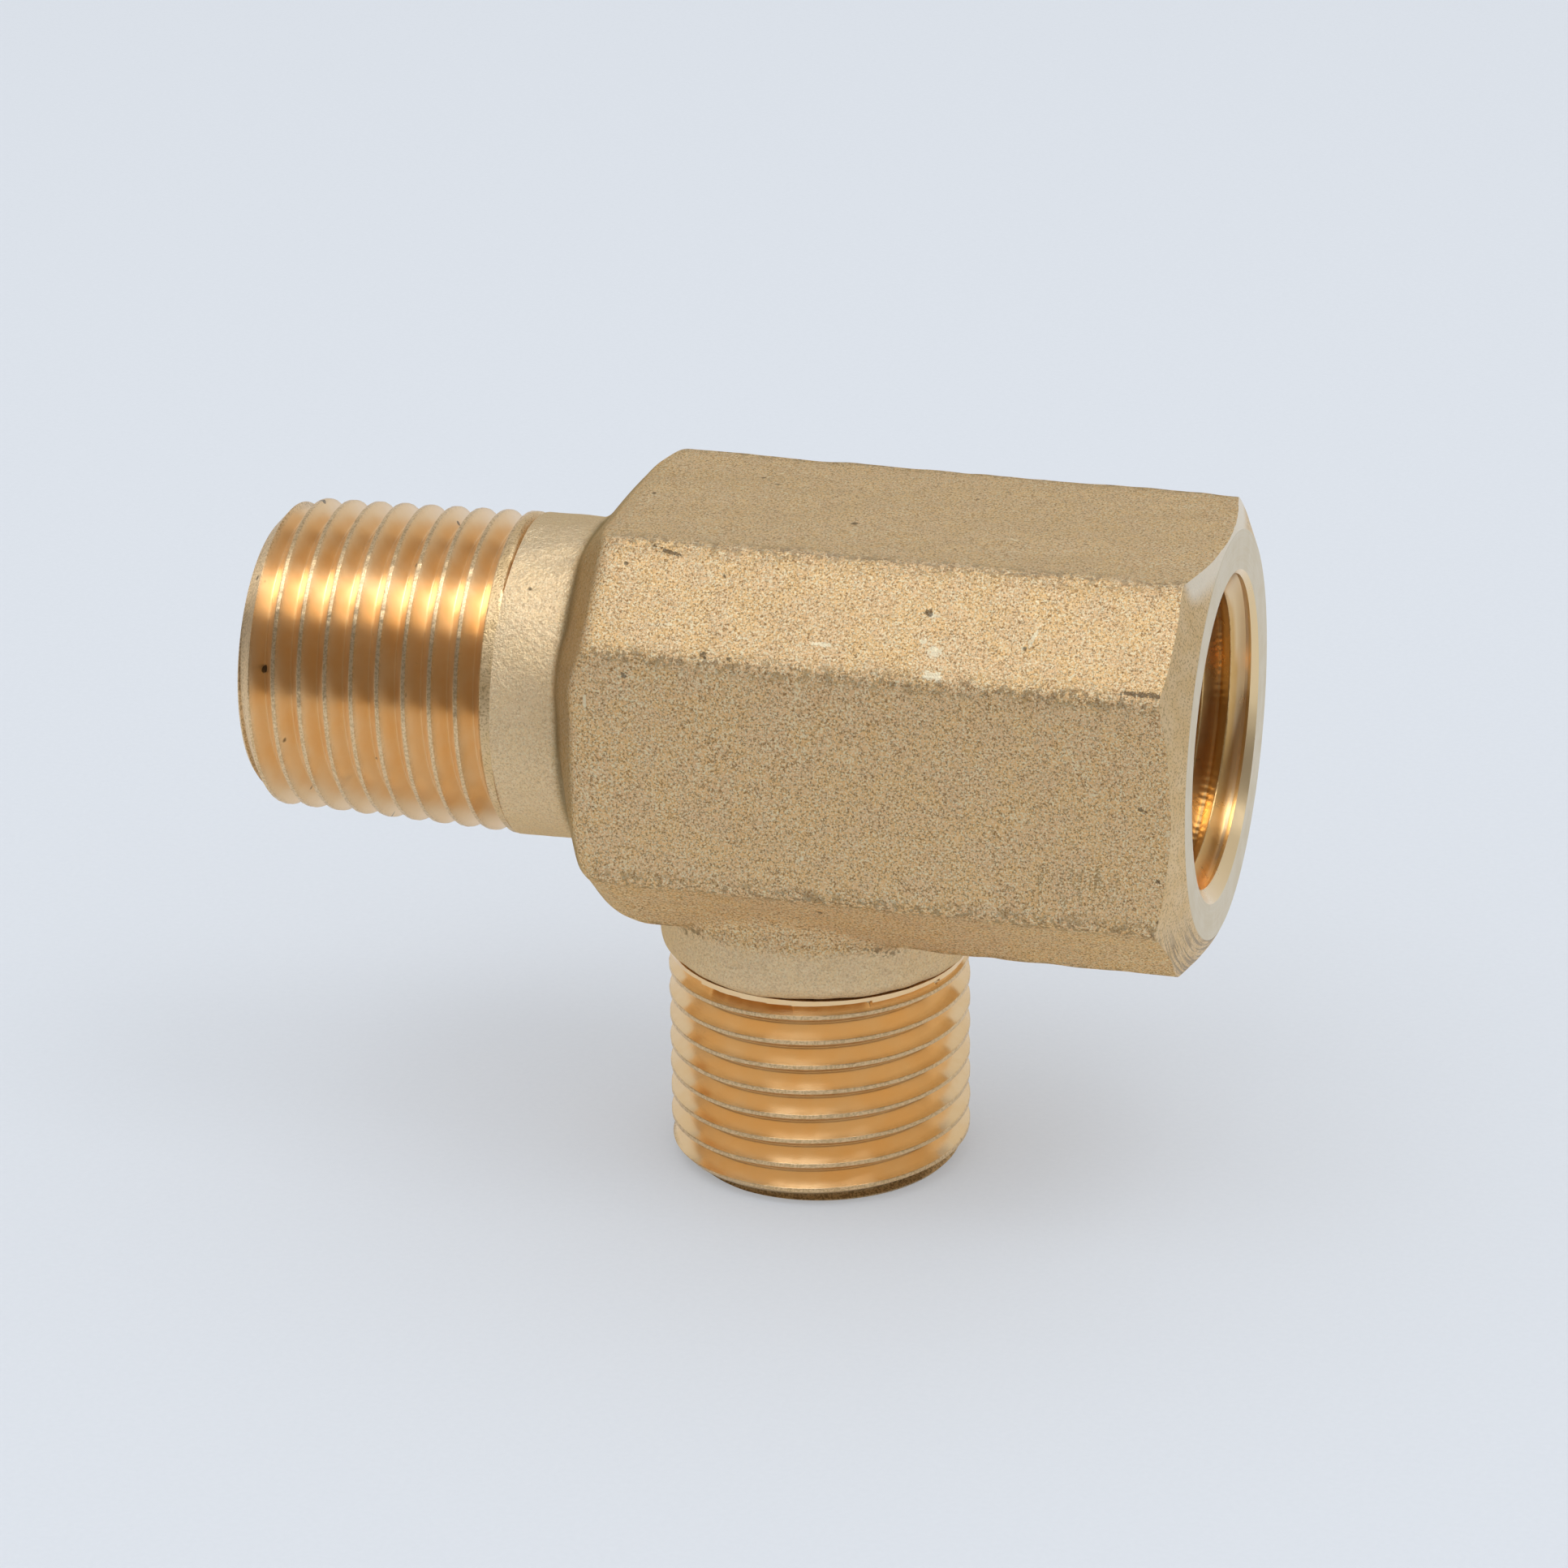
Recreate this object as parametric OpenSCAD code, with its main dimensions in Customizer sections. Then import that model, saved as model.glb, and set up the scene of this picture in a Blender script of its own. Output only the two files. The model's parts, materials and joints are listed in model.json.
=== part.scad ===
// Half inch street tee: an octagonal forged barrel with a threaded socket at one end of the run,
// a threaded spigot at the other end and a threaded branch below.
// X is the run axis with the socket at +X, Z is up and the branch points down.
// The origin is where the two axes cross. Millimetres.

/* [Thread] */
// Distance from one crest to the next (14 threads per inch)
pitch = 1.8143; // [1.5:0.0001:2.4]
// Radial depth of the two male threads from crest to root
male_depth = 1.15; // [0.7:0.05:1.2]
// Width of the flat at the bottom of the groove
root_flat = 0.2; // [0.1:0.05:0.4]
// Angle of each flank, half of a 60 degree form
flank_angle = 30; // [25:0.5:30]

/* [Run thread] */
// X of the free end of the run thread
run_end_x = -37.3; // [-42:0.1:-34]
// X where the run thread meets the forged neck
run_shoulder_x = -19.3; // [-21:0.1:-17]
// Crest radius of the first full turn at the free end
run_crest_r = 10.35; // [9.9:0.05:10.5]
// Growth of the crest radius per mm along the run, half of a 1 in 20 taper
run_taper = 0.025; // [0:0.001:0.03]
// Radius of the free end, inside its chamfer
run_tip_r = 9.05; // [8.9:0.05:9.2]
// Length of the chamfer at the free end
run_chamfer = 1.2; // [0.8:0.1:1.6]
// Plain length between the last turn and the neck
run_relief = 0.3; // [0.3:0.1:1.5]

/* [Branch thread] */
// Z of the free end of the branch
branch_end_z = -32.5; // [-36:0.1:-30]
// Z of the machined shoulder under the boss
branch_shoulder_z = -17.4; // [-18.5:0.1:-16]
// Crest radius of the parallel branch thread
branch_crest_r = 10.15; // [9.9:0.05:10.5]
// Radius of the free end, inside its chamfer
branch_tip_r = 9.15; // [8.9:0.05:9.2]
// Length of the chamfer at the free end
branch_chamfer = 1.1; // [0.8:0.1:1.6]
// Plain length between the shoulder and the last turn
branch_relief = 0.6; // [0.4:0.1:1.5]

/* [Barrel] */
// Width across the front and back flats
barrel_w = 29; // [28.4:0.1:31]
// Height across the top and bottom flats
barrel_h = 27.4; // [27:0.1:30]
// Height of the front and back flats
side_flat = 16.1; // [14:0.1:18]
// Width of the top and bottom flats
top_flat = 17; // [14:0.1:18]
// X where the flats start, at the neck end
flats_start_x = -12.3; // [-12.6:0.1:-11]
// How far the end runs back for each mm towards the neck
end_slope = 0.68; // [0.3:0.01:0.8]
// X of the socket's end face
face_x = 27.5; // [26:0.1:30]
// Outer radius of the end face, where the chamfer starts
face_r = 13.4; // [13:0.1:13.5]
// How far the chamfer runs back for each mm of radius
face_slope = 0.46; // [0.3:0.01:0.7]

/* [Neck and boss] */
// Radius of the forged neck between the barrel and the run thread
neck_r = 10.85; // [10.8:0.05:11.2]
// Radius of the forged boss above the branch thread
boss_r = 10.65; // [10.6:0.05:11.2]

/* [Waterway] */
// Radius of the waterway along the run
run_bore_r = 7.25; // [6:0.05:7.5]
// Radius of the waterway up the branch
branch_bore_r = 7; // [5:0.05:7.2]

/* [Socket] */
// Depth of the threaded socket below the end face
socket_depth = 15.2; // [13:0.1:17]
// Radius of the socket's thread crests
socket_crest_r = 9.6; // [9.3:0.05:9.8]
// Radial depth of the socket's thread from crest to root
socket_thread_depth = 0.85; // [0.7:0.05:1]
// Radius of the lead-in countersink at the end face
countersink_r = 10.95; // [10.8:0.05:11.2]
// Outer radius of the machined zone that carries the socket's thread
socket_zone_r = 12.9; // [12.4:0.1:12.9]

/* [Hidden] */
$fn = 96;
FORGED = "#b59d70";
MACHINED = "#cfa556";
SIDES_PER_TURN = 32;
// The groove cutter reaches this far past the crests
CUTTER_REACH = 0.22;
OVERSHOOT = 1;
// Where each groove starts, from its free end, so that it cuts in from outside
RUN_GROOVE_START = -1.13;
BRANCH_GROOVE_START = -1.09;
SOCKET_GROOVE_START = -1.2;
// Unthreaded depth at the bottom of the socket
SOCKET_RUNOUT = 1.6;
run_length = run_shoulder_x - run_end_x;
branch_length = branch_shoulder_z - branch_end_z;
// Turns that fit between where a groove starts and where it has to end, in quarters of a turn
function turns_between(start, end) = floor(4 * (end - start) / pitch) / 4;
run_turns = turns_between(RUN_GROOVE_START, run_length - run_relief);
branch_turns = turns_between(BRANCH_GROOVE_START, branch_length - branch_relief);
socket_turns = turns_between(SOCKET_GROOVE_START, socket_depth - SOCKET_RUNOUT);
// Half the width at which the cutter would touch its own next turn
widest_mouth = pitch / 2 - 0.01;
half_w = barrel_w / 2;
half_h = barrel_h / 2;
bevel_rise = half_h - side_flat / 2;
bevel_run = half_w - top_flat / 2;
bevel_reach = (half_w * bevel_rise + side_flat / 2 * bevel_run) / norm([bevel_rise, bevel_run]);
bevel_angle = atan2(bevel_rise, bevel_run);
// Each flat as its angle round the run axis from the top, and its distance from that axis
FLATS = [
  [0, half_h], [bevel_angle, bevel_reach], [90, half_w], [180 - bevel_angle, bevel_reach],
  [180, half_h], [180 + bevel_angle, bevel_reach], [270, half_w], [360 - bevel_angle, bevel_reach]
];

// Turns an upright shape so that its Z lies along the run, towards the socket
module along_run(x = 0) {
  translate([x, 0, 0]) rotate([0, 90, 0]) children();
}

// Rings of four points along a right-hand helix. side is 1 to cut a shaft and -1 to cut a hole.
// The bottom of the groove rises to the crests over the last turn.
function groove_points(start, turns, crest_r, full_depth, taper, side) =
  [for (i = [0 : turns * SIDES_PER_TURN])
    let (turn = i / SIDES_PER_TURN,
         z = start + turn * pitch,
         crest = crest_r + max(0, z) * taper,
         fade = max(0, turn - turns + 1),
         depth = full_depth * (1 - fade) - 0.02 * fade,
         root = crest - side * depth,
         mouth = crest + side * CUTTER_REACH,
         half_root = root_flat / 2,
         half_mouth = min(half_root + (depth + CUTTER_REACH) * tan(flank_angle), widest_mouth),
         c = cos(360 * turn),
         s = sin(360 * turn))
    each [
      [root * c, root * s, z + half_root],
      [mouth * c, mouth * s, z + half_mouth],
      [mouth * c, mouth * s, z - half_mouth],
      [root * c, root * s, z - half_root]
    ]];

// The helical cutter. Its faces are listed the other way round when it cuts a hole.
module groove(start, turns, crest_r, full_depth, taper = 0, side = 1) {
  points = groove_points(start, turns, crest_r, full_depth, taper, side);
  last = len(points) - 4;
  skin = [for (i = [0 : 4 : last - 4], k = [0 : 3])
    let (a = i + k, b = i + (k + 1) % 4)
    each [[a, b + 4, b], [a, a + 4, b + 4]]];
  faces = concat([[0, 1, 2], [0, 2, 3]], skin, [[last + 2, last + 1, last], [last + 3, last + 2, last]]);
  flipped = [for (f = faces) [f[2], f[1], f[0]]];
  polyhedron(points = points, faces = side > 0 ? faces : flipped, convexity = 20);
}

// Upright spigot before its thread is cut: a chamfered tip, then one plain cylinder for each turn
// of crest, so that a tapered thread still has true round crests
module spigot_blank(length, tip_r, chamfer, crest_r, taper) {
  steps = ceil((length - chamfer) / pitch);
  outline = [for (i = [0 : steps - 1])
    let (r = crest_r + taper * (chamfer + (i + 0.5) * pitch))
    each [[r, chamfer + i * pitch], [r, min(length, chamfer + (i + 1) * pitch)]]];
  rotate_extrude() polygon(concat([[0, 0], [tip_r, 0]], outline, [[0, length]]));
}

// Octagonal bar along the run
module barrel_bar() {
  rotate([90, 0, 90])
    translate([0, 0, run_shoulder_x])
      linear_extrude(face_x - run_shoulder_x)
        polygon([
          [half_w, side_flat / 2], [top_flat / 2, half_h],
          [-top_flat / 2, half_h], [-half_w, side_flat / 2],
          [-half_w, -side_flat / 2], [-top_flat / 2, -half_h],
          [top_flat / 2, -half_h], [half_w, -side_flat / 2]
        ]);
}

// Sloping planes that bring each flat down to the neck
module neck_end_cuts() {
  cut = 3 * half_w;
  for (flat = FLATS)
    rotate([flat[0], 0, 0])
      translate([flats_start_x, 0, flat[1]])
        rotate([0, atan(end_slope), 0])
          translate([-cut, -cut / 2, -cut / 2])
            cube(cut);
}

// Turned envelope: a plain cylinder, with the chamfer round the end face
module turned_envelope() {
  clear_r = 2 * face_r;
  along_run()
    rotate_extrude()
      polygon([
        [0, run_shoulder_x], [clear_r, run_shoulder_x],
        [clear_r, face_x - (clear_r - face_r) * face_slope],
        [face_r, face_x], [0, face_x]
      ]);
}

module waterways() {
  along_run(run_end_x - OVERSHOOT) cylinder(r = run_bore_r, h = face_x - run_end_x);
  translate([0, 0, branch_end_z - OVERSHOOT]) cylinder(r = branch_bore_r, h = OVERSHOOT - branch_end_z);
}

// Octagonal barrel, round neck and round boss, as forged, with the waterways and the socket's seat
module forged_body() {
  color(FORGED)
    difference() {
      union() {
        intersection() {
          difference() {
            barrel_bar();
            neck_end_cuts();
          }
          turned_envelope();
        }
        along_run(run_shoulder_x) cylinder(r = neck_r, h = -run_shoulder_x);
        translate([0, 0, branch_shoulder_z]) cylinder(r = boss_r, h = -branch_shoulder_z);
      }
      waterways();
      along_run(face_x - socket_depth) cylinder(r = socket_zone_r, h = socket_depth + OVERSHOOT);
    }
}

// Threaded end of the run, from its chamfered tip to the neck
module run_male_thread() {
  color(MACHINED)
    difference() {
      along_run(run_end_x)
        difference() {
          spigot_blank(run_length, run_tip_r, run_chamfer, run_crest_r, run_taper);
          groove(RUN_GROOVE_START, run_turns, run_crest_r, male_depth, run_taper);
        }
      waterways();
    }
}

// Threaded branch, from its chamfered tip to the shoulder under the boss
module branch_male_thread() {
  color(MACHINED)
    difference() {
      translate([0, 0, branch_end_z])
        difference() {
          spigot_blank(branch_length, branch_tip_r, branch_chamfer, branch_crest_r, 0);
          groove(BRANCH_GROOVE_START, branch_turns, branch_crest_r, male_depth);
        }
      waterways();
    }
}

// Machined ring at the socket, with the end face, the countersink and the internal thread
module socket_thread() {
  countersink_depth = countersink_r - socket_crest_r;
  color(MACHINED)
    along_run(face_x)
      rotate([180, 0, 0])
        difference() {
          cylinder(r = socket_zone_r, h = socket_depth);
          translate([0, 0, -OVERSHOOT]) cylinder(r = socket_crest_r, h = socket_depth + 2 * OVERSHOOT);
          translate([0, 0, -OVERSHOOT])
            cylinder(r1 = countersink_r + OVERSHOOT, r2 = socket_crest_r, h = countersink_depth + OVERSHOOT);
          groove(SOCKET_GROOVE_START, socket_turns, socket_crest_r, socket_thread_depth, 0, -1);
        }
}

forged_body();
run_male_thread();
branch_male_thread();
socket_thread();
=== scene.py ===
import json
import math

import bmesh
import bpy
import numpy as np
from mathutils import Matrix, Vector


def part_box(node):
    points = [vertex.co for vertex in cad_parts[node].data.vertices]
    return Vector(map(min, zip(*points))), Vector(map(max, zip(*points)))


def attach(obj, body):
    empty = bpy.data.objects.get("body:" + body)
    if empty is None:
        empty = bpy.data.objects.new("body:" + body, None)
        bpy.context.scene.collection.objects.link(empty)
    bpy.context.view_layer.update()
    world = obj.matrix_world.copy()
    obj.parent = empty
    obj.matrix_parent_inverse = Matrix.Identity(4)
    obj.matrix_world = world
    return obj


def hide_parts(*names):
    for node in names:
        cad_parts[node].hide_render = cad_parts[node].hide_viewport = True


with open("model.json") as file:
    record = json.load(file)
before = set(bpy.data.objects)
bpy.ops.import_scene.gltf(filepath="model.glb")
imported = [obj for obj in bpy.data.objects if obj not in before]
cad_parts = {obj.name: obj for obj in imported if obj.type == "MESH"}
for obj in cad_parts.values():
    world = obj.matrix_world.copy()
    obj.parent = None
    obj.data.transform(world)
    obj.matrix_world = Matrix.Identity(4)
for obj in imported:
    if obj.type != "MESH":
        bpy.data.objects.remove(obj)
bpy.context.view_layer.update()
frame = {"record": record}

MM = 0.001
TURN = 2 * math.pi


# ---------------------------------------------------------------- sizes from the frame, in millimetres


def corners(node):
    low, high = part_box(node)
    return [c / MM for c in low], [c / MM for c in high]


def mount_radius(name):
    return next(m for m in frame["record"]["mounts"] if m["name"] == name)["dims"]["r_mm"]


_, (FACE_X, HALF_W, HALF_H) = corners("forged_body")
(RUN_TIP_X, _, _), (NECK_X, _, _) = corners("run_male_thread")
(_, _, BRANCH_TIP_Z), (_, _, SHOULDER_Z) = corners("branch_male_thread")
(SEAT_X, _, _), (_, _, SEAT_R) = corners("socket_thread")
RUN_BORE_R = mount_radius("run_waterway")
BRANCH_BORE_R = mount_radius("branch_waterway")
# This radius was chosen to pass a check and not read off the photo; the usual one is near 9.35
SOCKET_R = mount_radius("socket_thread")
BRANCH_CREST_R = mount_radius("branch_thread")

# Proportions that no mount or box holds
PITCH = 1.8143
SIDE_FLAT, TOP_FLAT = 8.05, 8.5
JUNCTION_X, LOWER_JUNCTION_X = -14.7, -14.0
FACE_R, FACE_SLOPE = 13.4, 0.46
# How far the end chamfer was turned off the axis, towards the back
OFF_AXIS = 0.35
NECK_R, BOSS_R = 10.85, 10.65
MOUTH_R, SINK_SLOPE = 10.95, 0.9
RUN_CREST_R, RUN_TAPER = 10.35, 0.025
RUN_TIP_R, BRANCH_TIP_R = 9.05, 9.15
RUN_CHAMFER, BRANCH_CHAMFER = 1.2, 1.1
THREAD_DEPTH, FLANK, ROOT_ROUND = 1.2, 0.605, 0.06
# The socket's groove as laid over the photo (half the width of its flat root); the CAD's is 0.85 deep
SOCKET_DEPTH, SOCKET_ROOT_FLAT = 1.12, 0.13
# Where the middle of each groove would cross its free end, at angle 0
RUN_START = -1.13 + PITCH / 4
BRANCH_START = -1.09
SOCKET_START = 0.78 - PITCH
SIDES = 256
# Length over which the last turn of a male groove runs out
FADE = 0.9
# The band of the run thread beside the neck that is left dull
COLLAR = 0.9
BORE_CHAMFER = 0.35

# How far the blank reaches past the planes that it is machined back to
SPARE = 0.8
# Roundings of the forging, each about the size of the crease that it fills or wears down
BAR_ROUND, SLOPE_ROUND, END_ROUND, LOWER_END_ROUND = 0.36, 0.6, 0.8, 2.0
NECK_ROUND, BOSS_END_ROUND, BOSS_ROUND = 0.4, 1.6, 0.8
# The forged skin lies this far inside the CAD's, give or take its waves
INSET, WAVE_HEIGHT = 0.06, 0.0028
# The rounding of a thread's crest
CREST_ROUND = 0.035
# How near to a surface a point counts as on it
NEAR = 0.02
# Beyond every part of the object
CLEAR = 60
ROUND_BORE_SIDES = 128


# ---------------------------------------------------------------- the forging's shape


def smax(a, b, k):
    """The larger of two distances, with the crease between them rounded over about k."""
    h = np.clip(0.5 + 0.5 * (a - b) / k, 0, 1)
    return b + (a - b) * h + k * h * (1 - h)


def smin(a, b, k):
    return -smax(-a, -b, k)


def octagon_flats():
    """(normal y, normal z, reach, x where it starts) of each flat."""
    rise, run = HALF_H - SIDE_FLAT, HALF_W - TOP_FLAT
    length = math.hypot(rise, run)
    reach = (HALF_W * rise + SIDE_FLAT * run) / length
    flats = [(0, 1, HALF_H, -12.3), (0, -1, HALF_H, -12.4), (1, 0, HALF_W, -12.7), (-1, 0, HALF_W, -12.7)]
    for side in (1, -1):
        flats.append((side * rise / length, run / length, reach, -11.9))
        flats.append((side * rise / length, -run / length, reach, -12.5))
    return flats


FLATS = octagon_flats()
RANDOM = np.random.default_rng(7)
WAVE_DIRS = RANDOM.normal(size=(28, 3))
WAVE_DIRS /= np.linalg.norm(WAVE_DIRS, axis=1)[:, None]
WAVE_LENGTHS = np.geomspace(9.0, 1.3, 28)
WAVE_PHASES = RANDOM.uniform(0, TURN, 28)


def waviness(x, y, z):
    """The slow, shallow unevenness of a forged skin, always inwards."""
    total = 0
    for d, length, phase in zip(WAVE_DIRS, WAVE_LENGTHS, WAVE_PHASES):
        total = total + length**0.8 * np.sin((x * d[0] + y * d[1] + z * d[2]) * TURN / length + phase)
    return INSET + np.clip(WAVE_HEIGHT * total, -0.055, 0.2)


def barrel_planes(x, y, z):
    """The octagonal bar, and the slopes that bring its flats down to the neck."""
    bar = end = None
    for ny, nz, reach, start_x in FLATS:
        across = y * ny + z * nz
        flat = across - reach
        lean = (start_x - (LOWER_JUNCTION_X if nz < -0.1 else JUNCTION_X)) / (reach - NECK_R)
        slope = (start_x - lean * (reach - across) - x) / math.hypot(1, lean)
        bar = flat if bar is None else smax(bar, flat, BAR_ROUND)
        end = slope if end is None else smax(end, slope, SLOPE_ROUND)
    return bar, end


def forging(x, y, z):
    """Distance to the surface of the forging before it is machined, negative inside."""
    bar, end = barrel_planes(x, y, z)
    low = np.clip((-z - 4) / 8, 0, 1)
    barrel = smax(bar, end, END_ROUND + LOWER_END_ROUND * low)
    barrel = np.maximum(barrel, np.maximum(x - FACE_X - SPARE, NECK_X - SPARE - x))
    neck = np.maximum(np.hypot(y, z) - NECK_R, np.maximum(x, NECK_X - SPARE - x))
    boss = smax(np.hypot(x, y) - BOSS_R, SHOULDER_Z - 0.2 - z, BOSS_END_ROUND)
    boss = np.maximum(boss, z)
    return smin(smin(barrel, neck, NECK_ROUND), boss, BOSS_ROUND) + waviness(x, y, z)


def net(field, low, high, step):
    """Vertices and quads of the surface where field is zero: one vertex to each cell that it crosses."""
    axes = [np.arange(a, b + step, step) for a, b in zip(low, high)]
    value = field(*np.meshgrid(*axes, indexing="ij"))
    inside = value < 0
    shape = np.array(value.shape) - 1
    total, count = np.zeros((*shape, 3)), np.zeros(shape)
    for axis in range(3):
        first, second = [a for a in range(3) if a != axis]
        for da in (0, 1):
            for db in (0, 1):
                at = [0, 0, 0]
                at[first], at[second] = da, db
                v0 = value[tuple(slice(at[a], at[a] + shape[a]) for a in range(3))]
                at[axis] = 1
                v1 = value[tuple(slice(at[a], at[a] + shape[a]) for a in range(3))]
                cross = (v0 < 0) != (v1 < 0)
                count += cross
                total[..., axis] += np.where(cross, v0 / np.where(cross, v0 - v1, 1), 0)
                total[..., first] += cross * da
                total[..., second] += cross * db
    used = count > 0
    number = np.full(shape, -1)
    number[used] = np.arange(used.sum())
    points = (total[used] / count[used][:, None] + np.argwhere(used)) * step + np.array(low)
    quads = []
    for axis in range(3):
        a1, a2 = (axis + 1) % 3, (axis + 2) % 3
        lower, upper = [slice(1, -1)] * 3, [slice(1, -1)] * 3
        lower[axis], upper[axis] = slice(0, -1), slice(1, None)
        s0, s1 = inside[tuple(lower)], inside[tuple(upper)]
        base = np.argwhere(s0 != s1)
        outward = s0[tuple(base.T)]
        base[:, a1] += 1
        base[:, a2] += 1
        ring = []
        for d1, d2 in ((0, 0), (-1, 0), (-1, -1), (0, -1)):
            cell = base.copy()
            cell[:, a1] += d1
            cell[:, a2] += d2
            ring.append(number[tuple(cell.T)])
        ring = np.stack(ring, 1)
        ring[outward] = ring[outward][:, ::-1]
        quads.append(ring)
    for _ in range(4):
        points = onto(field, points, step)
    return points, np.concatenate(quads)


def onto(field, points, reach):
    """The points moved along the field's slope to where it is zero."""
    nudge = 0.02
    slope = np.stack([
        (field(*(points + shift).T) - field(*(points - shift).T)) / (2 * nudge) for shift in np.eye(3) * nudge
    ], 1)
    size = np.maximum((slope**2).sum(1), 0.05)
    return points - np.clip(field(*points.T) / size, -reach, reach)[:, None] * slope


# ---------------------------------------------------------------- mesh tools


def mesh_object(name, points, faces):
    mesh = bpy.data.meshes.new(name)
    mesh.from_pydata((np.asarray(points, float) * MM).tolist(), [], [list(map(int, f)) for f in faces])
    obj = bpy.data.objects.new(name, mesh)
    bpy.context.scene.collection.objects.link(obj)
    return obj


def solid_of_revolution(outline, sides, along="x"):
    """A closed solid turned from (position, radius) pairs, whose first and last radius are 0."""
    angles = np.arange(sides) * TURN / sides
    rows, points, faces = [], [], []
    for position, radius in outline:
        rows.append(len(points) + np.arange(sides) * (radius > 0))
        ring = angles if radius > 0 else angles[:1]
        points += [(position, radius * math.cos(a), radius * math.sin(a)) for a in ring]
    for low, high in zip(rows, rows[1:]):
        for i in range(sides):
            j = (i + 1) % sides
            face = list(dict.fromkeys((low[i], low[j], high[j], high[i])))
            if len(face) > 2:
                faces.append(face)
    points = np.array(points)
    obj = mesh_object("cutter", points[:, [1, 2, 0]] if along == "z" else points, faces)
    face_outwards(obj)
    return obj


def cylinder(low, high, radius, sides, along="x"):
    return solid_of_revolution([(low, 0), (low, radius), (high, radius), (high, 0)], sides, along)


def edit(obj, change):
    bm = bmesh.new()
    bm.from_mesh(obj.data)
    change(bm)
    bm.to_mesh(obj.data)
    bm.free()


def cut(obj, cutter, operation="DIFFERENCE"):
    step = obj.modifiers.new("cut", "BOOLEAN")
    step.operation, step.solver, step.object = operation, "MANIFOLD", cutter
    old = obj.data
    made = bpy.data.meshes.new_from_object(obj.evaluated_get(bpy.context.evaluated_depsgraph_get()))
    obj.modifiers.clear()
    obj.data = made
    made.materials.clear()
    bpy.data.meshes.remove(old)
    bpy.data.objects.remove(cutter)


def shade(obj, degrees):
    """Smooth shading, with a hard edge wherever two faces meet at more than this."""

    def mark(bm):
        for face in bm.faces:
            face.smooth = True
        for edge in bm.edges:
            edge.smooth = len(edge.link_faces) == 2 and edge.calc_face_angle(0) < math.radians(degrees)

    edit(obj, mark)


def paint(obj, name, values):
    """A number for each vertex, which a material reads."""
    attribute = obj.data.attributes.new(name, "FLOAT", "POINT")
    attribute.data.foreach_set("value", np.asarray(values, np.float32))


def triples(elements, what):
    """One vector of each element, in millimetres."""
    numbers = np.zeros(len(elements) * 3, np.float32)
    elements.foreach_get(what, numbers)
    return numbers.reshape(-1, 3).astype(float) / MM


def vertex_points(obj):
    return triples(obj.data.vertices, "co")


def polygon_centres(obj):
    return triples(obj.data.polygons, "center")


def set_materials(obj, index):
    """Which of the object's materials each polygon has."""
    obj.data.polygons.foreach_set("material_index", index.astype(np.int32))


def from_axis(points, axis):
    return np.hypot(*np.delete(points, axis, 1).T)


def face_outwards(obj):
    edit(obj, lambda bm: bmesh.ops.recalc_face_normals(bm, faces=bm.faces))


# ---------------------------------------------------------------- materials


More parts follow.
